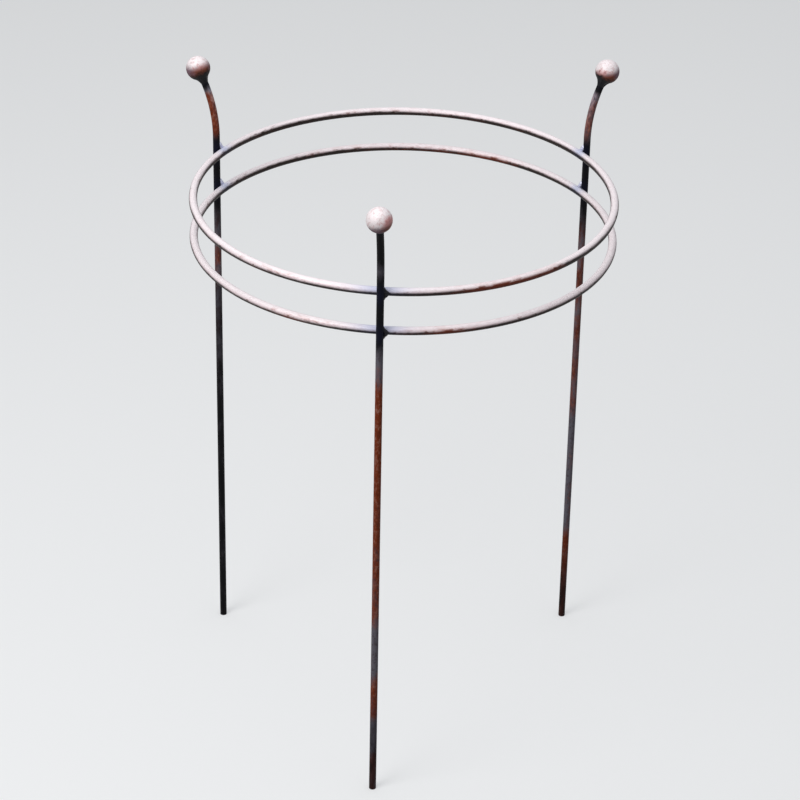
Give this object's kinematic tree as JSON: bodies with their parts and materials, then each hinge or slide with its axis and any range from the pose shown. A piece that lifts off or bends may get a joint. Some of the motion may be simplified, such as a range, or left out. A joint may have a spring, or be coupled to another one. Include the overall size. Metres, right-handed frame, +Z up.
{
  "type": "plant support ring stake",
  "caption": "Garden plant support of welded round bar: hoops held level inside tall legs whose tops bend outward and end in balls. The legs push into soil and the hoops hold up stems.",
  "frame": {"origin": "on the rings' common axis, level with the feet of the legs", "axes": "+Z up along the rings' axis; -Y towards the front leg; +X to the right as seen from the front"},
  "size_m": [0.4346, 0.4514, 0.8],
  "materials": {
    "ring_patina": "satin rust and bronze patina on steel under clear lacquer",
    "leg_patina": "red-brown and grey-black heat patina on steel under clear lacquer",
    "ball_patina": "satin copper-brown patina on steel under clear lacquer",
    "weld_metal": "blue-black heat-darkened weld metal"
  },
  "bodies": {
    "root": {"upper_ring": "ring_patina", "lower_ring": "ring_patina", "front_leg": "leg_patina", "left_leg": "leg_patina", "right_leg": "leg_patina", "front_ball": "ball_patina", "left_ball": "ball_patina", "right_ball": "ball_patina", "front_collar": "weld_metal", "left_collar": "weld_metal", "right_collar": "weld_metal", "front_upper_bead": "weld_metal", "left_upper_bead": "weld_metal", "right_upper_bead": "weld_metal", "front_lower_bead": "weld_metal", "left_lower_bead": "weld_metal", "right_lower_bead": "weld_metal"}
  },
  "joints": []
}
